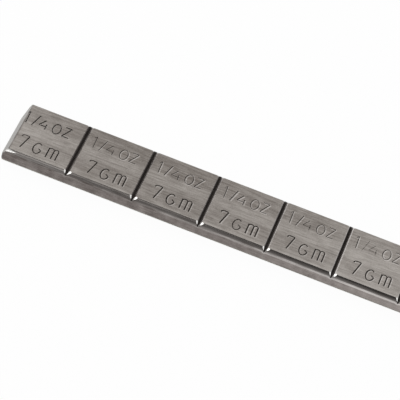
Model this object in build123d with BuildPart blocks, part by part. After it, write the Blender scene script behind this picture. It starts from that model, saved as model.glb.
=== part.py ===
from build123d import *
from math import cos, radians, sin, sqrt
import os

# Stick-on wheel balance weight: a strip of lead segments joined at pressed notches,
# with foam tape under it and the paper liner that covers the tape until it is used.
# Millimetres. X runs along the strip, Y across it, Z up. The origin is under the
# middle of the strip, on the surface that the liner lies on.

# Strip
segment_count = 12
segment_pitch = 14.3
strip_width = 15.9
strip_thickness = 2.83
corner_radius = 0.5
bottom_edge_radius = 0.15

# Rolled shoulder along both long edges of the top: an arc that runs out into the side
shoulder_radius = 1.4
shoulder_turn = 60

# Notch between two segments
notch_mouth = 0.8
notch_root = 0.12
notch_depth = 0.82

# Corner facets, where the blade drew the shoulder down at each end of a notch
facet_reach = 0.65
facet_dip = 0.33

# Lip of lead squeezed out sideways at each end of a notch
lip_width = 1.0
lip_stand_out = 0.17
lip_rise = 0.06
lip_height = 0.9

# Parted ends of the strip
end_setback = 0.55
end_bevel_run = 0.8
end_bevel_drop = 1.6

# Foam tape under the strip
tape_width = 14.3
tape_thickness = 0.5
tape_end_setback = 0.3

# Paper liner, which stands out past the tape all round so that a nail can lift it
liner_overhang = 0.3
liner_thickness = 0.1

# Cutters run this far past the surfaces that they cut
cutter_overrun = 1.0

strip_length = segment_count * segment_pitch - 2 * end_setback
half_width = strip_width / 2
strip_bottom = liner_thickness + tape_thickness
strip_top = strip_bottom + strip_thickness
shoulder_inset = shoulder_radius * (1 - cos(radians(shoulder_turn)))
shoulder_drop = shoulder_radius * sin(radians(shoulder_turn))
shoulder_foot = strip_top - shoulder_drop
notch_floor = strip_top - notch_depth
tape_length = strip_length - 2 * tape_end_setback

os.makedirs("parts", exist_ok=True)

# A shallow trough that slopes down and outwards through the shoulder, at both ends of one
# notch. It is widest at the top edge and runs out on the shoulder, level with the notch
# floor. Its two sides leave the corner facets.
tip_rise = max(notch_floor - shoulder_foot, 0)
tip_inset = shoulder_radius - sqrt(shoulder_radius**2 - tip_rise**2)
trough_foot = Vector(0, tip_inset - half_width, notch_floor)
trough_head = Vector(0, shoulder_inset - half_width, strip_top - facet_dip)
trough_slope = (trough_head - trough_foot).normalized()
trough_plane = Plane(origin=trough_foot, x_dir=(1, 0, 0), z_dir=trough_slope)
dip_across_trough = facet_dip * trough_slope.Y
trough_depth = dip_across_trough + cutter_overrun
trough_half_mouth = facet_reach * trough_depth / dip_across_trough

with BuildPart() as facet_cutter:
    with BuildSketch(trough_plane):
        with BuildLine():
            Polyline(
                (0, 0),
                (trough_half_mouth, -trough_depth),
                (-trough_half_mouth, -trough_depth),
                close=True,
            )
        make_face()
    extrude(amount=shoulder_inset + shoulder_drop, both=True)
    mirror(about=Plane.XZ)

# The lips at both ends of one notch: a bulge in plan that fades out down the side.
lip_top = notch_floor + lip_rise
lip_taper = Vector(lip_height, 0).get_angle(Vector(lip_height, lip_stand_out))

with BuildPart() as lip_pair:
    with BuildSketch(Plane.XY.offset(lip_top)):
        with BuildLine():
            bulge = SagittaArc((-lip_width / 2, -half_width), (lip_width / 2, -half_width), -lip_stand_out)
            Polyline(
                bulge @ 1,
                (lip_width / 2, lip_width - half_width),
                (-lip_width / 2, lip_width - half_width),
                bulge @ 0,
            )
        make_face()
    extrude(amount=-lip_height, taper=lip_taper)
    mirror(about=Plane.XZ)

# The V of one notch, right across the strip and its lips.
wall_slope = (notch_mouth - notch_root) / 2 / notch_depth
cutter_mouth = notch_mouth + 2 * wall_slope * cutter_overrun

with BuildPart() as notch_cutter:
    with BuildSketch(Plane.XZ):
        with BuildLine():
            Polyline(
                (-notch_root / 2, notch_floor),
                (notch_root / 2, notch_floor),
                (cutter_mouth / 2, strip_top + cutter_overrun),
                (-cutter_mouth / 2, strip_top + cutter_overrun),
                close=True,
            )
        make_face()
    extrude(amount=half_width + lip_stand_out + cutter_overrun, both=True)

# The lead strip: its rolled section, drawn for one half and mirrored, is rounded in plan,
# pressed with its facets, lips and notches, and bevelled at both ends.
with BuildPart() as weight_strip:
    with BuildSketch(Plane.YZ):
        with BuildLine():
            base = Line((0, strip_bottom), (half_width - bottom_edge_radius, strip_bottom))
            lower_corner = JernArc(base @ 1, base % 1, bottom_edge_radius, 90)
            side = Line(lower_corner @ 1, (half_width, shoulder_foot))
            shoulder = JernArc(side @ 1, side % 1, shoulder_radius, shoulder_turn)
            top = Line(shoulder @ 1, (0, strip_top))
            Line(top @ 1, base @ 0)
        make_face()
        mirror(about=Plane.YZ)
    extrude(amount=strip_length / 2, both=True)
    with BuildSketch(Plane.XY):
        RectangleRounded(strip_length, strip_width, corner_radius)
    extrude(amount=strip_top, mode=Mode.INTERSECT)

    with GridLocations(segment_pitch, 0, segment_count - 1, 1):
        add(facet_cutter.part, mode=Mode.SUBTRACT)
        add(lip_pair.part)
        add(notch_cutter.part, mode=Mode.SUBTRACT)

    with BuildSketch(Plane.XZ):
        with BuildLine():
            Polyline(
                (strip_length / 2 - end_bevel_run, strip_top),
                (strip_length / 2, strip_top),
                (strip_length / 2, strip_top - end_bevel_drop),
                close=True,
            )
        make_face()
        mirror(about=Plane.YZ)
    extrude(amount=half_width + cutter_overrun, both=True, mode=Mode.SUBTRACT)
weight_strip.part.label = "weight_strip"

# Foam tape, inset from the edges of the strip.
with BuildPart() as adhesive_tape:
    with BuildSketch(Plane.XY.offset(liner_thickness)):
        Rectangle(tape_length, tape_width)
    extrude(amount=tape_thickness)
adhesive_tape.part.label = "adhesive_tape"

# Paper liner under the tape.
with BuildPart() as release_liner:
    with BuildSketch(Plane.XY):
        RectangleRounded(tape_length + 2 * liner_overhang, tape_width + 2 * liner_overhang, corner_radius)
    extrude(amount=liner_thickness)
release_liner.part.label = "release_liner"

for piece in (weight_strip, adhesive_tape, release_liner):
    export_step(piece.part, f"parts/{piece.part.label}.step")
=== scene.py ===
# %% [markdown]
# # A stick-on wheel balance weight
# A garage breaks weights off a strip like this one and sticks them inside a wheel rim.
# The strip is bare lead: rolled to a flat bar, marked with its weight, and pressed with
# deep notches where it is meant to break. This lesson dresses the measured model: it
# loads the solids, rebuilds the lead bar with its marks, and gives every piece a finish.

# %% Load the measured model
import math
import random

import bmesh
import bpy
from mathutils import Matrix, Quaternion, Vector


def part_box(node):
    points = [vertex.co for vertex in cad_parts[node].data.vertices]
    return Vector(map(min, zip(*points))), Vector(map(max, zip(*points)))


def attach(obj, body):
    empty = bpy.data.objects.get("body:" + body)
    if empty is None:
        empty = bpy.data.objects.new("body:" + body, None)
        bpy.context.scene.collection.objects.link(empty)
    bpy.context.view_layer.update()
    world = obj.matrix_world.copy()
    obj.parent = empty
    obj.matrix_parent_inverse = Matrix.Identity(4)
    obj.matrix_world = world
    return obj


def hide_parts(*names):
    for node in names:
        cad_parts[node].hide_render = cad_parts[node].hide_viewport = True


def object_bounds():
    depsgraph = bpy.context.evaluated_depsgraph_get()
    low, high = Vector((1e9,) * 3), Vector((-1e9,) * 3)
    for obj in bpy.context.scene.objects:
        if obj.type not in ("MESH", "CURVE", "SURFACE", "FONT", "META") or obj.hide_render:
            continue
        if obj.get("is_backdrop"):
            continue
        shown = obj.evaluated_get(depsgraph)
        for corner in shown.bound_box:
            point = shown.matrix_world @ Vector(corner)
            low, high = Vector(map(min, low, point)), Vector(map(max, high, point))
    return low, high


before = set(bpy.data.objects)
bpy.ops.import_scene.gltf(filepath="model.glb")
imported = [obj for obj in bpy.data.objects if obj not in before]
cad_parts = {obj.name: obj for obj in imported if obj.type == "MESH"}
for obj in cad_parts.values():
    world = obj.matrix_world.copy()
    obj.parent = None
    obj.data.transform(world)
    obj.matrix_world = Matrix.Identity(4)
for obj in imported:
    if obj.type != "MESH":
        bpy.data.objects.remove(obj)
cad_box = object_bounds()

mm = 0.001
print("nodes:", sorted(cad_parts))

# %% [markdown]
# ## The camera
# The strip was photographed from close to its middle, looking down at about 44 degrees,
# with the camera rolled so that the strip runs downhill to the right. The view is set
# from those angles, a target on the strip and a distance, because each of them can be
# judged by eye and changed alone. A long lens gives the weak perspective of the picture.

# %% Camera
view_target = Vector((-44.6, -1.35, 3.43)) * mm
view_distance = 573.4 * mm
view_elevation = math.radians(43.75)
view_azimuth = math.radians(5.855)
view_roll = math.radians(16.99)
view_lens = 255.3
nearest_sight = 1 * mm

towards_camera = Vector((
    math.sin(view_azimuth) * math.cos(view_elevation),
    -math.cos(view_azimuth) * math.cos(view_elevation),
    math.sin(view_elevation),
))
bpy.ops.object.camera_add(location=view_target + towards_camera * view_distance)
camera = bpy.context.object
camera.name = "camera"
level_view = (-towards_camera).to_track_quat("-Z", "Y")
camera.rotation_mode = "QUATERNION"
camera.rotation_quaternion = level_view @ Quaternion((0, 0, 1), view_roll)
camera.data.lens = view_lens
camera.data.clip_start = nearest_sight
bpy.context.scene.camera = camera
bpy.context.scene.view_settings.view_transform = "Standard"
print("camera at", [round(value / mm, 1) for value in camera.location])

# %% [markdown]
# ## The floor
# The strip lies on plain white ground. A large plane is enough for that.

# %% Floor
floor_size = 3.0
bpy.ops.object.select_all(action="DESELECT")
bpy.ops.mesh.primitive_plane_add(size=floor_size, location=(0, 0, 0))
floor = bpy.context.object
floor.name = "floor"
floor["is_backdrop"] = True
print("floor:", floor_size, "m wide")

# %% [markdown]
# ## White paint for the floor
# The floor is white to the camera and in reflections, and still takes part of the strip's
# shadow. More light would whiten it too, but would wash out the lead. So the Light Path
# node does it: it tells the material what kind of ray has arrived, and that sets how much
# of the plain matt paint is replaced by an even white glow.

# %% Floor paint
floor_colour = (0.92, 0.92, 0.92, 1)
white_strength = 1.0
camera_white = 0.96
glossy_white = 0.9


def calculated(tree, operation, *terms):
    """The result of a Math node, whose terms are numbers or outputs of other nodes."""
    node = tree.nodes.new("ShaderNodeMath")
    node.operation = operation
    for socket, term in zip(node.inputs, terms):
        if isinstance(term, bpy.types.NodeSocket):
            tree.links.new(term, socket)
        else:
            socket.default_value = term
    return node.outputs[0]


floor_paint = bpy.data.materials.new("white_floor")
floor_paint.use_nodes = True
floor_tree = floor_paint.node_tree
floor_tree.nodes.clear()
ray = floor_tree.nodes.new("ShaderNodeLightPath")
seen = calculated(floor_tree, "MULTIPLY", ray.outputs["Is Camera Ray"], camera_white)
white_share = calculated(floor_tree, "MULTIPLY_ADD", ray.outputs["Is Glossy Ray"], glossy_white, seen)
matt = floor_tree.nodes.new("ShaderNodeBsdfDiffuse")
matt.inputs["Color"].default_value = floor_colour
white = floor_tree.nodes.new("ShaderNodeEmission")
white.inputs["Strength"].default_value = white_strength
mix = floor_tree.nodes.new("ShaderNodeMixShader")
floor_tree.links.new(white_share, mix.inputs["Fac"])
floor_tree.links.new(matt.outputs[0], mix.inputs[1])
floor_tree.links.new(white.outputs[0], mix.inputs[2])
output = floor_tree.nodes.new("ShaderNodeOutputMaterial")
floor_tree.links.new(mix.outputs[0], output.inputs["Surface"])
floor.data.materials.append(floor_paint)
print("floor paint:", len(floor_tree.nodes), "nodes")

# %% [markdown]
# ## What stands around
# Bare metal shows whatever stands around it. Here that is bright near the horizon and dim
# overhead, as in a white tent with an open top: the sides of the strip catch the walls,
# and its top stays dark enough for the marks to read. A tent could be built from sheets,
# but a ramp on the height of each direction does the same in one node.

# %% World
sky_levels = ((0.0, 1.3), (0.1, 1.0), (0.375, 0.48), (0.62, 0.25), (0.82, 0.08), (1.0, 0.07))


def grey(level):
    """A colour without hue."""
    return (level, level, level)


def ramp(tree, factor, stops, easing="LINEAR"):
    """The colour that a factor picks from a ramp; stops are pairs of place and colour."""
    node = tree.nodes.new("ShaderNodeValToRGB")
    node.color_ramp.interpolation = easing
    marks = node.color_ramp.elements
    while len(marks) < len(stops):
        marks.new(0.5)
    for mark, (place, colour) in zip(marks, stops):
        mark.position = place
        mark.color = (*colour, 1)
    tree.links.new(factor, node.inputs["Fac"])
    return node.outputs["Color"]


world = bpy.data.worlds.new("studio")
world.use_nodes = True
sky_tree = world.node_tree
looking = sky_tree.nodes.new("ShaderNodeTexCoord")
height = sky_tree.nodes.new("ShaderNodeSeparateXYZ")
sky_tree.links.new(looking.outputs["Generated"], height.inputs[0])
sky_stops = [(level, grey(brightness)) for level, brightness in sky_levels]
sky = ramp(sky_tree, height.outputs["Z"], sky_stops)
sky_tree.links.new(sky, sky_tree.nodes["Background"].inputs["Color"])
bpy.context.scene.world = world
print("sky:", sky_levels[0][1], "at the horizon,", sky_levels[-1][1], "overhead")

# %% [markdown]
# ## Soft boxes
# A studio lights metal with large soft lamps, because a flat face mirrors one patch of the
# room and looks as bright as that patch. A wide box stands behind for the flat top, and one
# at each side for the bright facets beside the notches. One in front is for the shoulder,
# a small one above for the gouged corner, and the last is a plain fill. Apart from the
# fill, each stands where the face that it is meant for mirrors it to the camera.

# %% Lamps
def soft_box(name, direction, distance, width, radiance):
    """A square lamp that faces the strip; radiance is how bright its face looks."""
    place = view_target + Vector(direction).normalized() * distance
    bpy.ops.object.light_add(type="AREA", location=place)
    lamp = bpy.context.object
    lamp.name = name
    lamp.rotation_euler = (view_target - place).to_track_quat("-Z", "Y").to_euler()
    lamp.data.shape = "SQUARE"
    lamp.data.size = width
    lamp.data.energy = radiance * math.pi * width * width
    print("lamp", name, "energy", round(lamp.data.energy, 3))


soft_box("back_light", direction=(0.0, 0.75, 0.7), distance=1.0, width=1.2, radiance=0.93)
soft_box("left_light", direction=(-0.54, -0.20, 0.82), distance=0.6, width=0.2, radiance=2.6)
soft_box("right_light", direction=(0.62, -0.11, 0.78), distance=0.6, width=0.3, radiance=1.3)
soft_box("front_light", direction=(-0.26, -0.56, 0.79), distance=0.5, width=0.19, radiance=0.6)
soft_box("corner_light", direction=(-0.27, -0.05, 0.96), distance=0.51, width=0.15, radiance=2.2)
soft_box("fill_light", direction=(-0.85, 0.3, 0.45), distance=1.0, width=0.8, radiance=2.2)

# %% [markdown]
# ## One segment
# The strip is a row of equal segments, so one is modelled and copied. It starts as a box
# at its real size. Drawing the section and extruding it would do as well, but a box can be
# trimmed step by step, in the order in which the rolls and the press shaped the lead.

# %% Segment box
strip_low, strip_high = (Vector(corner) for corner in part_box("weight_strip"))
strip_bottom = strip_low.z
strip_top = strip_high.z
half_length = strip_high.x
segment_count = 12
segment_pitch = 14.3 * mm
strip_width = 15.9 * mm
half_pitch = segment_pitch / 2
half_width = strip_width / 2

bpy.ops.object.select_all(action="DESELECT")
bpy.ops.mesh.primitive_cube_add(
    size=1,
    location=(0, 0, (strip_bottom + strip_top) / 2),
    scale=(segment_pitch, strip_width, strip_top - strip_bottom),
)
segment = bpy.context.object
segment.name = "segment"
bpy.ops.object.transform_apply(location=True, rotation=True, scale=True)
bpy.ops.object.mode_set(mode="EDIT")
print("segment box:", [round(value / mm, 2) for value in segment.dimensions], "mm")

# %% [markdown]
# ## Broken lower edges
# Modelling by hand is select, then act. With no mouse, the selecting is done by place: the
# helper below takes a test, such as whether an edge runs lengthwise, and selects what
# passes. The lower edges of the strip are only just broken, so a small bevel is enough.

# %% Lower edges
near = 0.002 * mm
bottom_radius = 0.15 * mm
bottom_steps = 3
round_profile = 0.5


def edit_skin():
    """The mesh of the piece that is open in edit mode."""
    return bmesh.from_edit_mesh(bpy.context.edit_object.data)


def pick(kind, chosen):
    """Select vertices, edges or faces that pass a test, and nothing else."""
    mode = {"verts": "VERT", "edges": "EDGE", "faces": "FACE"}[kind]
    bpy.ops.mesh.select_mode(type=mode)
    bpy.ops.mesh.select_all(action="DESELECT")
    skin = edit_skin()
    for part in getattr(skin, kind):
        part.select_set(chosen(part))
    skin.select_flush_mode()
    bmesh.update_edit_mesh(bpy.context.edit_object.data)


def along_strip(edge):
    """Whether an edge runs lengthwise."""
    first, second = edge.verts[0].co, edge.verts[1].co
    return abs(first.y - second.y) < near and abs(first.z - second.z) < near


pick("edges", lambda edge: along_strip(edge) and edge.verts[0].co.z < strip_bottom + near)
print("lower edges:", sum(edge.select for edge in edit_skin().edges))
bpy.ops.mesh.bevel(offset=bottom_radius, segments=bottom_steps, profile=round_profile)

# %% [markdown]
# ## Rolled shoulders
# Rolling left a crisp edge along the top and a round shoulder below it, which runs out into
# the upright side. A bevel would round the top edge away, so the shoulder is sawn instead,
# in small steps. Sawing is Blender's bisect, which cuts along a plane and can trim off one
# side and cap it.

# %% Shoulders
shoulder_radius = 1.4 * mm
shoulder_start = math.radians(30)
shoulder_end = math.radians(90)
shoulder_steps = 9
saw_play = near / 100
shoulder_centre = Vector((
    0,
    half_width - shoulder_radius,
    strip_top - shoulder_radius * math.cos(shoulder_start),
))


def saw(point, normal, trim=True):
    """Cut the open piece with a plane, and trim and cap the side the normal points to."""
    bpy.ops.mesh.select_all(action="SELECT")
    bpy.ops.mesh.bisect(
        plane_co=point, plane_no=normal, use_fill=trim, clear_outer=trim, threshold=saw_play
    )


def on_shoulder(lean):
    """The point of the shoulder, on the +Y side, where its skin leans this far from level."""
    return shoulder_centre + shoulder_radius * Vector((0, math.sin(lean), math.cos(lean)))


def mirrored(vector, side):
    """A vector for the +Y side, or its mirror image for the other."""
    return Vector((vector.x, side * vector.y, vector.z))


shoulder_stride = (shoulder_end - shoulder_start) / shoulder_steps
for side in (-1, 1):
    for step in range(shoulder_steps):
        lean = shoulder_start + (step + 0.5) * shoulder_stride
        outward = Vector((0, math.sin(lean), math.cos(lean)))
        saw(mirrored(on_shoulder(lean - shoulder_stride / 2), side), mirrored(outward, side))
print("segment with shoulders:", len(edit_skin().faces), "faces")

# %% [markdown]
# ## Corner facets
# A blade pressed each notch, and drew the shoulder down beside it into small bright facets.
# The blade was ground on one side, so one facet is broad and the other only a sliver. They
# could be cut out with a wedge, but one slanting saw cut per corner leaves the same flat
# face, with edges as crisp as the blade left them.

# %% Facets
top_edge = on_shoulder(shoulder_start)
broad_reach = 1.02 * mm
broad_lean = math.radians(34)
broad_turn = math.radians(27)
sliver_reach = 0.6 * mm
sliver_lean = math.radians(36)
sliver_turn = math.radians(40)


def press_facet(end, side, reach, lean, turn):
    """Saw off the corner beside a notch: the cut leans outwards and turns to the notch."""
    start = mirrored(top_edge, side) + Vector((end * (half_pitch - reach), 0, 0))
    outward = Vector((
        end * math.sin(lean) * math.sin(turn),
        side * math.sin(lean) * math.cos(turn),
        math.cos(lean),
    ))
    saw(start, outward)


for side in (-1, 1):
    press_facet(-1, side, broad_reach, broad_lean, broad_turn)
    press_facet(1, side, sliver_reach, sliver_lean, sliver_turn)
print("segment with facets:", len(edit_skin().faces), "faces")

# %% [markdown]
# ## Notch walls
# The same blade left one steep wall and one slanting wall in every notch, and a narrow
# broken edge along each mouth. A segment ends in the middle of a notch on both sides, so
# each of its ends gets one wall: the two halves of a notch meet when the copies are joined.

# %% Walls
notch_depth = 0.87 * mm
notch_floor = strip_top - notch_depth
steep_mouth = 0.32 * mm
slant_mouth = 0.60 * mm
mouth_break = 0.1 * mm
mouth_lean = math.radians(37)

wall_normals = []
for end, mouth in ((1, steep_mouth), (-1, slant_mouth)):
    wall_normals.append(Vector((end * notch_depth, 0, mouth)).normalized())
    saw((end * half_pitch, 0, notch_floor), wall_normals[-1])
    break_x = end * (half_pitch - mouth - mouth_break)
    saw((break_x, 0, strip_top), (end * math.sin(mouth_lean), 0, math.cos(mouth_lean)))
print("pressed segment:", len(edit_skin().faces), "faces")

# %% [markdown]
# ## Which finish goes where
# Several finishes meet on the lead: dull rolled metal on the flats, burnished metal on
# the shoulders with a painted highlight on the crests, bright cut metal on the facets,
# painted shade in the notches and along the lower edges, and grime with painted shade in
# the stamped marks. One material could tell them apart by place, but it would be hard to
# read. Each finish gets a material slot instead, and the faces are sorted by the way they
# look. The slots come before the copies, so that every copy carries its own.

# %% Finish slots
finish_names = (
    "rolled_lead", "shoulder_lead", "side_lead", "burnished_sheen_lead", "cut_lead",
    "parted_lead", "notch_painted_shade", "edge_painted_shade", "mark_rim", "mark_groove",
)
finishes = {name: bpy.data.materials.new(name) for name in finish_names}
for finish in finishes.values():
    finish.use_nodes = True
    segment.data.materials.append(finish)
print("finish slots:", len(segment.data.materials))

# %% [markdown]
# ## Sides and shoulders
# A face's normal is the direction in which it looks, so a side, a broken lower edge and a
# shoulder can be told apart by it. The broken lower edge gets painted shade. The foot of
# the shoulder is the crest that hands and rolls rub most, and it gets a finish of its own
# between two leans, which also carries a painted highlight.

# %% Rolled faces
# A face looks sideways when at least this much of its normal points there.
sideways = 0.2
crest_top = math.cos(math.radians(63))
crest_foot = math.cos(math.radians(84))


def is_side(face):
    """An upright face along the strip."""
    return abs(face.normal.y) > sideways and face.normal.z <= crest_foot


def is_lower_edge(face):
    """The broken edge along the foot of a side."""
    return abs(face.normal.y) > sideways and face.normal.z < -sideways


def is_shoulder(face):
    """The upper shoulder, which leans outwards below the top edge."""
    return abs(face.normal.y) > sideways and face.normal.z > crest_top


def is_crest(face):
    """The steep foot of the shoulder, where hands and rolls have rubbed it."""
    return abs(face.normal.y) > sideways and crest_foot < face.normal.z <= crest_top


def assign(piece, finish_name, belongs):
    """Give the faces that pass a test one of the finishes."""
    pick("faces", belongs)
    piece.active_material_index = finish_names.index(finish_name)
    bpy.ops.object.material_slot_assign()
    print(finish_name, "on", sum(face.select for face in edit_skin().faces), "faces")


assign(segment, "side_lead", is_side)
# Painted shade: the broken lower edges get a dark colour for the shadow under the strip.
assign(segment, "edge_painted_shade", is_lower_edge)
assign(segment, "shoulder_lead", is_shoulder)
assign(segment, "burnished_sheen_lead", is_crest)

# %% [markdown]
# ## Facets and notches
# The pressed faces are told apart in the same way. A corner facet leans outwards and
# towards the notch at once, while the walls and the broken edges of a mouth look only along
# the strip, each at the angle that it was sawn to.

# %% Pressed faces
# At least this much of a facet's normal points outwards, to the notch, and up.
aslant = 0.15
upwards = 0.3
# The normal of a sawn face may be this far off.
normal_play = 0.01
wall_play = 0.02


def is_facet(face):
    """A corner facet: it leans outwards and towards the notch."""
    leans = abs(face.normal.x) > aslant and abs(face.normal.y) > aslant
    return leans and face.normal.z > upwards


def is_mouth_break(face):
    """The broken edge along the mouth of a notch."""
    lean_error = abs(abs(face.normal.x) - math.sin(mouth_lean))
    return lean_error < normal_play and abs(face.normal.y) < normal_play


def is_notch_wall(face):
    """One of the two walls of a notch."""
    return any((face.normal - normal).length < wall_play for normal in wall_normals)


assign(segment, "cut_lead", is_facet)
assign(segment, "burnished_sheen_lead", is_mouth_break)
# Painted shade: the notch walls get a near-black colour for the shade in the notches.
assign(segment, "notch_painted_shade", is_notch_wall)

# %% [markdown]
# ## Lips
# The lead that the blade pushed aside came out as a small lip at each end of a notch. A lip
# has no edges of its own: it swells out of the side and fades away. So the skin is first
# cut into a few bands there, without trimming, and the points at the notch floor are then
# pulled out with proportional editing, which makes the lead around them follow.

# %% Lips
lip_reach = 0.5 * mm
lip_height = 0.7 * mm
lip_stand_out = 0.203 * mm
lip_bands = (0.4, 1)

for level in (notch_floor, notch_floor - lip_height / 2, notch_floor - lip_height):
    saw((0, 0, level), (0, 0, 1), trim=False)
for end in (-1, 1):
    for band in lip_bands:
        saw((end * (half_pitch - band * lip_reach), 0, 0), (1, 0, 0), trim=False)
for side in (-1, 1):
    pick("verts", lambda point: (
        abs(point.co.x) > half_pitch - near
        and abs(point.co.z - notch_floor) < near
        and point.co.y * side > top_edge.y
    ))
    print("lip points:", sum(point.select for point in edit_skin().verts))
    bpy.ops.transform.translate(
        value=(0, side * lip_stand_out, 0),
        use_proportional_edit=True,
        proportional_edit_falloff="SMOOTH",
        proportional_size=lip_height,
    )
bpy.ops.object.mode_set(mode="OBJECT")

# %% [markdown]
# ## Twelve copies
# An Array modifier would make the row in one step, but all its segments would be alike. On
# the real strip the two end segments are parted and every stamp lands a little differently,
# so each segment is a copy with its own mesh.

# %% Copies
row = []
for number in range(segment_count):
    copy = segment.copy()
    copy.data = segment.data.copy()
    bpy.context.collection.objects.link(copy)
    row.append(copy)
bpy.data.objects.remove(segment)
print("segments in the row:", len(row))

# %% [markdown]
# ## Parted ends
# The strip was parted from a longer one, so its two ends are sawn off a little short of the
# next notch. Their upright edges are rounded, which the saw does in small steps again. The
# end segments are cut before they are stamped, while their tops are still plain.

# %% Sawn ends
# Where the strip ends, measured from the middle of its last segment.
end_x = half_length - (segment_count - 1) * half_pitch
corner_radius = 0.8 * mm
corner_steps = 5
corner_turn = math.radians(90)
strip_ends = ((row[0], -1), (row[-1], 1))


def take_up(*pieces):
    """Select these pieces and nothing else, and make the first one active."""
    bpy.ops.object.select_all(action="DESELECT")
    for piece in pieces:
        piece.select_set(True)
    bpy.context.view_layer.objects.active = pieces[0]


def saw_end(end):
    """Saw the open segment off at an end of the strip, and round its upright edges."""
    saw((end * end_x, 0, 0), (end, 0, 0))
    for side in (-1, 1):
        centre = Vector((end * (end_x - corner_radius), side * (half_width - corner_radius), 0))
        for step in range(1, corner_steps):
            turn = corner_turn * step / corner_steps
            outward = Vector((end * math.cos(turn), side * math.sin(turn), 0))
            saw(centre + outward * corner_radius, outward)


for piece, end in strip_ends:
    take_up(piece)
    bpy.ops.object.mode_set(mode="EDIT")
    saw_end(end)
    print("sawn end:", len(edit_skin().faces), "faces")
    bpy.ops.object.mode_set(mode="OBJECT")

# %% [markdown]
# ## The sheared corner
# The shear ran off at the far corner of the near end. It left a slanting face there, with
# its own bevel above it. Two saw cuts through one point give both.

# %% Sheared corner
end_bevel_run = 1.0 * mm
end_bevel_drop = 1.6 * mm
bevel_normal = Vector((end_bevel_drop, 0, end_bevel_run)).normalized()
shear_setback = 0.75 * mm
shear_reach = 3.9 * mm
shear_bevel_drop = 0.75 * mm

sheared_piece, end = strip_ends[0]
take_up(sheared_piece)
bpy.ops.object.mode_set(mode="EDIT")
outward = Vector((end * shear_reach, shear_setback, 0)).normalized()
start = Vector((end * end_x, half_width - shear_reach, strip_top - shear_bevel_drop))
saw(start, outward)
saw(start, outward * bevel_normal.x + Vector((0, 0, bevel_normal.z)))
print("sheared end:", len(edit_skin().faces), "faces")
bpy.ops.object.mode_set(mode="OBJECT")

# %% [markdown]
# ## Bevels and burrs
# Both ends are bevelled, and a burr runs along the upper edge of the bevel, where the
# lead was turned over. The burr is a very shallow cut, and its dark colour is painted shade,
# which shows as a thin line. The new faces then get their finishes, picked by the way they look.

# %% Bevelled ends
burr_run = 0.3 * mm
burr_drop = 0.05 * mm
burr_normal = Vector((burr_drop, 0, burr_run)).normalized()
# Wide enough to take in the sheared corner, whose faces are turned a little.
end_play = 0.05


def looks_along(face, end, normal):
    """Whether a face has this normal, at the given end."""
    level_error = abs(end * face.normal.x - normal.x)
    return level_error < end_play and abs(face.normal.z - normal.z) < normal_play


def is_end_face(face, end):
    """An upright face at the end, or at one of its corners."""
    return end * face.normal.x > sideways and abs(face.normal.z) < normal_play


for piece, end in strip_ends:
    take_up(piece)
    bpy.ops.object.mode_set(mode="EDIT")
    burr_foot = (end * (end_x - end_bevel_run), 0, strip_top - burr_drop)
    saw(burr_foot, (end * burr_normal.x, 0, burr_normal.z))
    saw(burr_foot, (end * bevel_normal.x, 0, bevel_normal.z))
    assign(piece, "side_lead", lambda face: is_end_face(face, end))
    assign(piece, "parted_lead", lambda face: looks_along(face, end, bevel_normal))
    # The burr gets painted shade: a dark colour for the shadow along the bevel's edge.
    assign(piece, "edge_painted_shade", lambda face: looks_along(face, end, burr_normal))
    bpy.ops.object.mode_set(mode="OBJECT")

# %% [markdown]
# ## Gouged corners
# At each corner of an end the blade also gouged the shoulder, and left a bright tapered
# groove. Moving points by hand would leave a ragged edge in the skin, so the groove is cut
# with a tool: a four-sided cone that lies along the shoulder, taken away with a Boolean
# modifier. The tool has the strip's finish slots, so the cut faces come out already coated.

# %% Gouges
gouge_length = 3.0 * mm
gouge_half_width = 0.62 * mm
gouge_depth = 0.26 * mm
gouge_lean = math.radians(47)


def coat(tool, finish_name):
    """Give the active tool all the finish slots, and one finish all over."""
    for finish in finishes.values():
        tool.data.materials.append(finish)
    bpy.ops.object.mode_set(mode="EDIT")
    bpy.ops.mesh.select_all(action="SELECT")
    tool.active_material_index = finish_names.index(finish_name)
    bpy.ops.object.material_slot_assign()
    bpy.ops.object.mode_set(mode="OBJECT")


def press(piece, tool):
    """Cut a tool's shape out of a piece."""
    bpy.context.view_layer.objects.active = piece
    cut = piece.modifiers.new("press", "BOOLEAN")
    cut.operation = "DIFFERENCE"
    cut.solver = "MANIFOLD"
    cut.object = tool
    bpy.ops.object.modifier_apply(modifier=cut.name)


def gouge(piece, end, side):
    """Cut a tapered groove into the shoulder, from the end of the strip inwards."""
    outward = mirrored(Vector((0, math.sin(gouge_lean), math.cos(gouge_lean))), side)
    inward = Vector((-end, 0, 0))
    turned = Matrix((outward.cross(inward), outward, inward)).transposed()
    middle = mirrored(on_shoulder(gouge_lean), side) + Vector((end * (end_x - gouge_length / 2), 0, 0))
    bpy.ops.object.select_all(action="DESELECT")
    bpy.ops.mesh.primitive_cone_add(
        vertices=4, radius1=gouge_half_width, radius2=0, depth=gouge_length,
        location=middle, rotation=turned.to_euler(), scale=(1, gouge_depth / gouge_half_width, 1),
    )
    cutter = bpy.context.object
    coat(cutter, "cut_lead")
    press(piece, cutter)
    bpy.data.objects.remove(cutter)


for piece, end in strip_ends:
    for side in (-1, 1):
        gouge(piece, end, side)
    print("parted and gouged end:", len(piece.data.polygons), "faces")

# %% [markdown]
# ## The figures on the stamp
# Each segment is marked with its weight in ounces and in grams, in thin single strokes. A
# font has outlines instead of strokes, and its letters would look too regular. So every
# figure is drawn as a list of strokes, and a stroke is a chain of points: plain lines and
# arcs, in millimetres from the middle of the segment.

# %% Figures
def arc(centre, half_size, start, end, steps):
    """Points on an ellipse between two angles in degrees."""
    angles = [math.radians(start + (end - start) * step / steps) for step in range(steps + 1)]
    return [
        (centre[0] + half_size[0] * math.cos(angle), centre[1] + half_size[1] * math.sin(angle))
        for angle in angles
    ]


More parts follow.
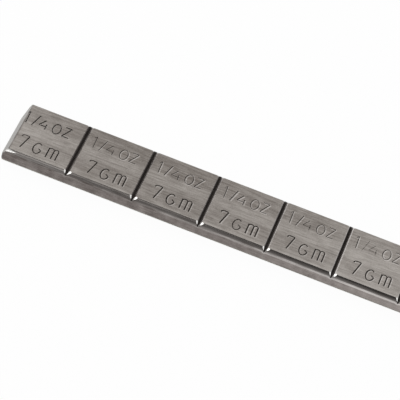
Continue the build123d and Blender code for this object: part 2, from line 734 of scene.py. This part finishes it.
ounce_figures = {
    "1": [
        [(-5.20, 4.80), (-4.80, 5.30)],
        [(-4.80, 5.30), (-4.70, 1.80)],
    ],
    "/": [
        [(-3.38, 1.70), (-2.53, 5.15)],
    ],
    "4": [
        [(-1.03, 4.42), (-2.03, 2.62)],
        [(-2.03, 2.62), (-0.33, 2.62)],
        [(-0.58, 3.32), (-0.53, 1.77)],
    ],
    "O": [
        arc((1.70, 3.17), (0.84, 1.48), 0, 360, 22),
    ],
    "Z": [
        [(3.22, 4.65), (4.57, 4.65)],
        [(4.57, 4.65), (3.17, 1.80)],
        [(3.17, 1.80), (4.62, 1.80)],
    ],
}
gram_figures = {
    "7": [
        [(-3.94, -2.25), (-3.79, -1.80)],
        [(-3.79, -1.80), (-3.22, -1.68), (-2.44, -1.75)],
        [(-2.44, -1.75), (-3.30, -5.55)],
    ],
    "G": [
        arc((0.06, -4.12), (0.87, 1.55), 50, 345, 18),
        [(0.90, -4.52), (0.28, -4.07)],
    ],
    "m": [
        [(2.26, -5.65), (2.26, -2.65)],
        [(2.26, -3.00)] + arc((2.83, -3.05), (0.56, 0.42), 150, 0, 7) + [(3.39, -5.65)],
        [(3.39, -3.00)] + arc((3.86, -3.05), (0.47, 0.42), 150, 0, 7) + [(4.33, -5.65)],
    ],
}
print("figures:", " ".join(ounce_figures), "and", " ".join(gram_figures))

# %% [markdown]
# ## Strokes as bars
# The stamp has a narrow ridge for every stroke, and here each ridge is a bar to cut with.
# One point is extruded again and again to draw the chain as edges, and the edges become a
# curve, which can have a thickness: at its coarsest, the section is a diamond. Turned back
# into a mesh, the bar is scaled to its depth. The figures could be merged into one cutter,
# but one bar per stroke keeps each a simple closed shape, which the Boolean needs.

# %% Stroke bars
weld = near / 10


def draw_chain(points):
    """Edges along a chain of points, level with the top."""
    bpy.ops.object.select_all(action="DESELECT")
    start = (points[0][0] * mm, points[0][1] * mm, strip_top)
    bpy.ops.mesh.primitive_plane_add(size=mm, location=start)
    bpy.ops.object.transform_apply(location=True, rotation=True, scale=True)
    bpy.ops.object.mode_set(mode="EDIT")
    bpy.ops.mesh.select_mode(type="VERT")
    bpy.ops.mesh.select_all(action="SELECT")
    bpy.ops.mesh.merge(type="CENTER")
    for here, there in zip(points, points[1:]):
        step = ((there[0] - here[0]) * mm, (there[1] - here[1]) * mm, 0)
        bpy.ops.mesh.extrude_region_move(TRANSFORM_OT_translate={"value": step})
    bpy.ops.mesh.select_all(action="SELECT")
    bpy.ops.mesh.remove_doubles(threshold=near)
    bpy.ops.object.mode_set(mode="OBJECT")


def stroke_bar(points, half_breadth, depth, lift, finish_name):
    """A bar with a diamond section along a chain of points."""
    draw_chain(points)
    bpy.ops.object.convert(target="CURVE")
    bar = bpy.context.object
    bar.data.bevel_depth = half_breadth
    bar.data.bevel_resolution = 0
    bar.data.use_fill_caps = True
    bpy.ops.object.convert(target="MESH")
    bpy.ops.object.mode_set(mode="EDIT")
    bpy.ops.mesh.select_all(action="SELECT")
    bpy.ops.mesh.remove_doubles(threshold=weld)
    bpy.ops.mesh.normals_make_consistent(inside=False)
    bpy.ops.transform.resize(value=(1, 1, depth / half_breadth), center_override=(0, 0, strip_top))
    bpy.ops.transform.translate(value=(0, 0, lift))
    bpy.ops.object.mode_set(mode="OBJECT")
    coat(bar, finish_name)
    return bar


print("strokes to cut:", sum(len(strokes) for strokes in (ounce_figures | gram_figures).values()))

# %% [markdown]
# ## Two sets of bars
# The stamp also dragged the metal down on both sides of each groove, so there are two sets
# of bars. One set is wide and shallow, for the dragged rim, and lies a little to one side,
# as the stamp leaned. The other is narrow and deep, for the groove itself. A bar with a
# stepped section could do both at once, but two plain ones are easier to adjust.

# %% Stamp bars
rim_half_width = 0.27 * mm
rim_depth = 0.04 * mm
rim_offset = (0.13, -0.08)
groove_half_width = 0.17 * mm
groove_depth = 0.17 * mm
ounce_lift = 0.06 * mm


def stamp_set(half_breadth, depth, offset, lifts, finish_name):
    """The bars of one pass over both lines of marks, each with the figure it belongs to."""
    bars = []
    for figures, lift in zip((ounce_figures, gram_figures), lifts):
        for figure, strokes in figures.items():
            for points in strokes:
                moved = [(x + offset[0], y + offset[1]) for x, y in points]
                bars.append((figure, stroke_bar(moved, half_breadth, depth, lift, finish_name)))
    print(len(bars), "bars for", finish_name)
    return bars


stamp_bars = stamp_set(rim_half_width, rim_depth, rim_offset, (0, 0), "mark_rim")
stamp_bars += stamp_set(groove_half_width, groove_depth, (0, 0), (ounce_lift, 0), "mark_groove")

# %% [markdown]
# ## Striking the marks
# The strip was fed a little askew, so the stamp lands further back on each segment. The
# first segment was struck harder and nearer to the end, and here and there a figure came
# out faint. The bars stay where they are and the segment moves under them, as in a press.
# A seeded random hand adds the last bit of play, the same in every run.

# %% Stamped segments
stamp_rise = 0.065 * mm
first_stamp_rise = -0.19 * mm
first_stamp_shift = -0.38 * mm
first_stamp_depth = 0.045 * mm
stamp_wander = 0.02 * mm
stamp_play = 0.02 * mm
stamp_seed = 7
hand = random.Random(stamp_seed)

# How far the stamp missed the figures that came out faint, by segment.
faint_figures = {
    1: {"1": 0.03 * mm, "/": 0.02 * mm, "4": 0.025 * mm, "7": 0.03 * mm},
    2: {"4": 0.02 * mm},
    3: {"1": 0.03 * mm, "O": 0.015 * mm, "G": 0.05 * mm},
    4: {"4": 0.03 * mm},
    5: {"/": 0.06 * mm, "4": 0.05 * mm},
}

for number, piece in enumerate(row):
    first = number == 0
    stamp_x = (first_stamp_shift if first else 0) + hand.uniform(-stamp_wander, stamp_wander)
    stamp_y = first_stamp_rise + number * stamp_rise + hand.uniform(-stamp_wander, stamp_wander)
    stamp_z = -first_stamp_depth if first else hand.uniform(0, stamp_play)
    piece.location = (-stamp_x, -stamp_y, -stamp_z)
    for figure, bar in stamp_bars:
        bar.location.z = faint_figures.get(number, {}).get(figure, 0)
        press(piece, bar)
    piece.location = ((number - (segment_count - 1) / 2) * segment_pitch, 0, 0)
for figure, bar in stamp_bars:
    bpy.data.objects.remove(bar)
print("stamped faces:", [len(piece.data.polygons) for piece in row])

# %% [markdown]
# ## One skin
# The segments of the real strip were never apart, so the row becomes one piece. Join only
# puts the meshes into one object: the faces between two segments would stay inside, and
# their points would stay double. Both are looked for at the seams alone, because the marks
# have small faces and close points of their own.

# %% Joined strip
take_up(*row)
bpy.ops.object.join()
bpy.ops.object.transform_apply(location=True, rotation=True, scale=True)
strip = bpy.context.object
strip.name = "lead_strip"
bpy.ops.object.mode_set(mode="EDIT")


def on_seam(point):
    """Whether a point lies where two segments meet."""
    return abs(math.remainder(point.x, segment_pitch)) < near


pick("faces", lambda face: all(on_seam(point.co) for point in face.verts))
bpy.ops.mesh.delete(type="FACE")
pick("verts", lambda point: on_seam(point.co))
bpy.ops.mesh.remove_doubles(threshold=near)
print("row:", len(edit_skin().faces), "faces")
print("open edges:", sum(len(edge.link_faces) != 2 for edge in edit_skin().edges))
bpy.ops.object.mode_set(mode="OBJECT")

# %% [markdown]
# ## Smooth curves, flat flats
# The sawn steps of the shoulder should look round, while pressed faces should look flat.
# Smoothing by angle rounds the steps and keeps sharp edges. The level top and all that
# looks along the strip are then made flat again, because smoothing would bend the light
# on them near the marks. The strip now stands for the measured solid and rides on its body.

# %% Shading and place
smooth_angle = math.radians(20)
level = 0.97
take_up(strip)
bpy.ops.object.shade_smooth_by_angle(angle=smooth_angle)
bpy.ops.object.mode_set(mode="EDIT")
pick("faces", lambda face: face.normal.z > level or abs(face.normal.x) > aslant)
bpy.ops.mesh.faces_shade_flat()
bpy.ops.object.mode_set(mode="OBJECT")
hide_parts("weight_strip")
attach(strip, "root")
print("strip:", len(strip.data.polygons), "faces", [round(value / mm, 3) for value in strip.dimensions])

# %% [markdown]
# ## The grain of rolled lead
# Rolled lead is dull, with fine streaks along the strip where it passed between the rolls,
# and cloudier patches and small specks over them. A photograph of lead could be laid on,
# but it would show its seams and its own light. Noise that is stretched along the strip
# gives the streaks at any size, and two even noises give the clouds and the specks.

# %% Grain
# Features per metre along each axis, and how many finer layers each noise has.
streak_scale = (260, 3000, 3000)
streak_detail = 4.0
cloud_scale = (500, 500, 500)
cloud_detail = 4.0
speck_scale = (4500, 4500, 4500)
speck_detail = 2.0


def noise(tree, place, scale, detail):
    """Noise between nought and one."""
    stretch = tree.nodes.new("ShaderNodeMapping")
    stretch.inputs["Scale"].default_value = scale
    tree.links.new(place, stretch.inputs["Vector"])
    texture = tree.nodes.new("ShaderNodeTexNoise")
    texture.inputs["Scale"].default_value = 1.0
    texture.inputs["Detail"].default_value = detail
    tree.links.new(stretch.outputs["Vector"], texture.inputs["Vector"])
    return texture.outputs["Fac"]


def mixed(tree, first, second, share):
    """Two shades mixed, with this share of the second."""
    mix = tree.nodes.new("ShaderNodeMix")
    mix.data_type = "FLOAT"
    mix.inputs["Factor"].default_value = share
    tree.links.new(first, mix.inputs["A"])
    tree.links.new(second, mix.inputs["B"])
    return mix.outputs["Result"]


print("streaks are", round(streak_scale[1] / streak_scale[0], 1), "times as long as wide")

# %% [markdown]
# ## Painted light along the strip
# Light and shade that fall unevenly along the strip are painted into the lead: its sides and
# crests are painted darker and browner towards the near end and lighter towards the middle,
# where the crests carry a painted highlight, and the top is painted darkest a few segments
# in from that end. The first shoulder is painted paler. The top is also a little brighter
# along the middle, with a painted highlight along the near edge. Such slow changes could be
# painted by hand, but a short ramp along or across the strip is easier to change: each stop
# is a place in millimetres and how much lighter or darker the lead is.

# %% Painted light and shade
# Painted light and shade, as stops of millimetres and lighter or darker lead.
top_light_along = ((-85, 0.02), (-64, -0.08), (-50, -0.088), (-36, -0.052), (-21, -0.016), (-7, 0.058))
top_light_across = (
    (-7.2, 0.2), (-6.4, 0.09), (-5.0, 0.05), (-2.6, 0.03),
    (-1.2, 0.12), (0.0, 0.136), (1.2, 0.12), (2.6, 0.0),
)
side_light_along = ((-85, -0.14), (-64, -0.15), (-50, -0.114), (-36, -0.094), (-21, -0.008), (-7, 0.066))
shoulder_light_along = ((-85, 0.3), (-75, 0.28), (-69, 0.0))
crest_light_along = ((-85, -0.26), (-64, -0.18), (-50, -0.138), (-36, -0.03), (-21, 0.12), (-7, 0.28))
# A ramp holds no shade below nought, so its shades are kept about mid grey.
mid_grey = 0.5


def mapped(tree, value, source, target=(0, 1)):
    """A value carried over from one range to another."""
    node = tree.nodes.new("ShaderNodeMapRange")
    limits = ("From Min", "From Max", "To Min", "To Max")
    for limit, number in zip(limits, (*source, *target)):
        node.inputs[limit].default_value = number
    tree.links.new(value, node.inputs["Value"])
    return node.outputs["Result"]


def profile(tree, place, stops):
    """A shade that follows a place on the strip."""
    first, last = stops[0][0], stops[-1][0]
    factor = mapped(tree, place, (first * mm, last * mm))
    marks = [((where - first) / (last - first), grey(mid_grey + shade)) for where, shade in stops]
    return calculated(tree, "SUBTRACT", ramp(tree, factor, marks, "EASE"), mid_grey)


print("painted_shading of the sides:", side_light_along[0][1], "at the near end,", side_light_along[-1][1], "in the middle")

# %% [markdown]
# ## Lead on the flats
# Dark lead is browner and bright lead is more neutral, so a finish is a ramp between a dark
# and a light colour. The same grain sets the roughness and the streaks set the relief, so
# colour and gloss change together, as they do on metal. Ten materials could be wired up one
# by one, but they differ only in numbers, so one function makes them all. The flat top
# comes first.

# %% Metal, and the flat top
dark_shade = 0.2
light_shade = 0.8
grain_range = (0.3, 0.7)
relief_height = 0.02 * mm


def bumped(tree, shade, relief):
    """A surface direction that follows the ups and downs of a shade."""
    bump = tree.nodes.new("ShaderNodeBump")
    bump.inputs["Strength"].default_value = relief
    bump.inputs["Distance"].default_value = relief_height
    tree.links.new(shade, bump.inputs["Height"])
    return bump.outputs["Normal"]


def metal(name, dark, light, roughness, relief, metallic=1.0, cloudy=0.3, specky=0.25,
          along=None, across=None):
    """Streaked metal between two colours; roughness is a pair, for dark and light grain."""
    tree = finishes[name].node_tree
    shader = tree.nodes["Principled BSDF"]
    shader.inputs["Metallic"].default_value = metallic
    place = tree.nodes.new("ShaderNodeTexCoord").outputs["Object"]
    streaks = noise(tree, place, streak_scale, streak_detail)
    clouds = noise(tree, place, cloud_scale, cloud_detail)
    specks = noise(tree, place, speck_scale, speck_detail)
    grain = mixed(tree, mixed(tree, streaks, clouds, cloudy), specks, specky)

    # Ramps along and across the strip add painted light and shade to the grain.
    shade = grain
    axes = tree.nodes.new("ShaderNodeSeparateXYZ")
    tree.links.new(place, axes.inputs[0])
    for axis, stops in (("X", along), ("Y", across)):
        if stops:
            shade = calculated(tree, "ADD", shade, profile(tree, axes.outputs[axis], stops))

    colour = ramp(tree, shade, ((dark_shade, dark), (light_shade, light)))
    tree.links.new(colour, shader.inputs["Base Color"])
    tree.links.new(mapped(tree, grain, grain_range, roughness), shader.inputs["Roughness"])
    tree.links.new(bumped(tree, streaks, relief), shader.inputs["Normal"])
    print("finish", name, "with", len(tree.nodes), "nodes")


# The top carries painted light and shade along the strip, and a painted highlight across it.
metal(
    "rolled_lead", dark=(0.10, 0.082, 0.070), light=(0.40, 0.373, 0.347),
    roughness=(0.50, 0.40), relief=0.25, along=top_light_along, across=top_light_across,
)

# %% [markdown]
# ## Lead on the shoulders and sides
# The shoulders, the sides and the crests between them came from the same rolls. They differ
# from the top in how far the rolls and many hands have burnished them, so all three are
# smoother, and each has its own painted light and shade along the strip, with a painted
# highlight on the crests.

# %% Shoulders, sides and crests
# Each follows its painted light along the strip; the crests' lighter colours paint a highlight.
metal(
    "shoulder_lead", dark=(0.14, 0.12, 0.11), light=(0.42, 0.39, 0.37),
    roughness=(0.23, 0.15), relief=0.08, cloudy=0.15, specky=0.0, along=shoulder_light_along,
)
metal(
    "side_lead", dark=(0.10, 0.083, 0.077), light=(0.42, 0.38, 0.36),
    roughness=(0.42, 0.32), relief=0.2, cloudy=0.6, along=side_light_along,
)
metal(
    "burnished_sheen_lead", dark=(0.10, 0.084, 0.077), light=(0.54, 0.51, 0.49),
    roughness=(0.30, 0.20), relief=0.08, specky=0.1, along=crest_light_along,
)

# %% [markdown]
# ## Cut faces, painted shade and painted highlights
# Where a blade passed, the lead is clean and bright. The notch walls are painted near black
# as painted shade, and are matt and not a metal, so they hardly shine. The lower edges and
# the burr are painted dark as painted shade, the grooves of the marks hold grime and painted
# shade, and the dragged rims of the marks are painted a little brighter than the top around
# them as a painted highlight. The same metal serves for all, with other colours.

# %% Other lead finishes
notch_shine = 0.2

metal(
    "cut_lead", dark=(0.50, 0.49, 0.475), light=(0.72, 0.71, 0.69),
    roughness=(0.28, 0.18), relief=0.1,
)
metal(
    "parted_lead", dark=(0.205, 0.196, 0.183), light=(0.40, 0.386, 0.367),
    roughness=(0.35, 0.25), relief=0.15,
)
# Painted shade: a near-black, matt colour for the shade in the notches.
metal(
    "notch_painted_shade", dark=(0.042, 0.036, 0.032), light=(0.098, 0.084, 0.077),
    roughness=(0.70, 0.55), relief=0.4, metallic=0.0,
)
notch_shader = finishes["notch_painted_shade"].node_tree.nodes["Principled BSDF"]
notch_shader.inputs["Specular IOR Level"].default_value = notch_shine
# Painted shade along the lower edges and the burr.
metal(
    "edge_painted_shade", dark=(0.07, 0.06, 0.054), light=(0.34, 0.315, 0.295),
    roughness=(0.50, 0.40), relief=0.3, cloudy=0.8,
)
# Painted highlight: the rims are lighter than the top and follow its painted light.
metal(
    "mark_rim", dark=(0.18, 0.16, 0.145), light=(0.56, 0.53, 0.505),
    roughness=(0.38, 0.28), relief=0.2, along=top_light_along,
)
# Grime and painted shade in the grooves of the marks.
metal(
    "mark_groove", dark=(0.04, 0.034, 0.03), light=(0.12, 0.106, 0.097),
    roughness=(0.55, 0.40), relief=0.3,
)

# %% [markdown]
# ## Tape and liner
# Under the lead lies white foam tape, and under that the paper that is peeled off before
# use. Their solids already have the right shape, so they keep it and only get a finish:
# an even fine grain that stands for the cells of the foam and the fibres of the paper.

# %% Tape and liner finishes
soft_detail = 4.0


def soft_finish(name, dark, light, grain_scale, roughness, relief):
    """A pale matt surface with a fine grain."""
    material = bpy.data.materials.new(name)
    material.use_nodes = True
    tree = material.node_tree
    shader = tree.nodes["Principled BSDF"]
    shader.inputs["Roughness"].default_value = roughness
    place = tree.nodes.new("ShaderNodeTexCoord").outputs["Object"]
    grain = noise(tree, place, (grain_scale, grain_scale, grain_scale), soft_detail)
    tree.links.new(ramp(tree, grain, ((0, dark), (1, light))), shader.inputs["Base Color"])
    tree.links.new(bumped(tree, grain, relief), shader.inputs["Normal"])
    return material


foam = soft_finish(
    "tape_foam", dark=(0.62, 0.62, 0.60), light=(0.84, 0.84, 0.82),
    grain_scale=6000.0, roughness=0.9, relief=0.5,
)
paper = soft_finish(
    "coated_paper", dark=(0.74, 0.72, 0.66), light=(0.86, 0.84, 0.78),
    grain_scale=2500.0, roughness=0.55, relief=0.2,
)
for node_name, finish in (("adhesive_tape", foam), ("release_liner", paper)):
    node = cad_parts[node_name]
    node.data.materials.clear()
    node.data.materials.append(finish)
    print(node_name, "gets", finish.name)

# %% [markdown]
# ## Sizes
# The sizes of the measured model and of the dressed pieces are printed side by side.
# The dressed strip has to stay inside the box of the measured model.

# %% Sizes
visual_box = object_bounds()
for box_name, (low, high) in (("measured", cad_box), ("dressed", visual_box)):
    print(box_name, "size:", [round((far - close) / mm, 3) for close, far in zip(low, high)], "mm")
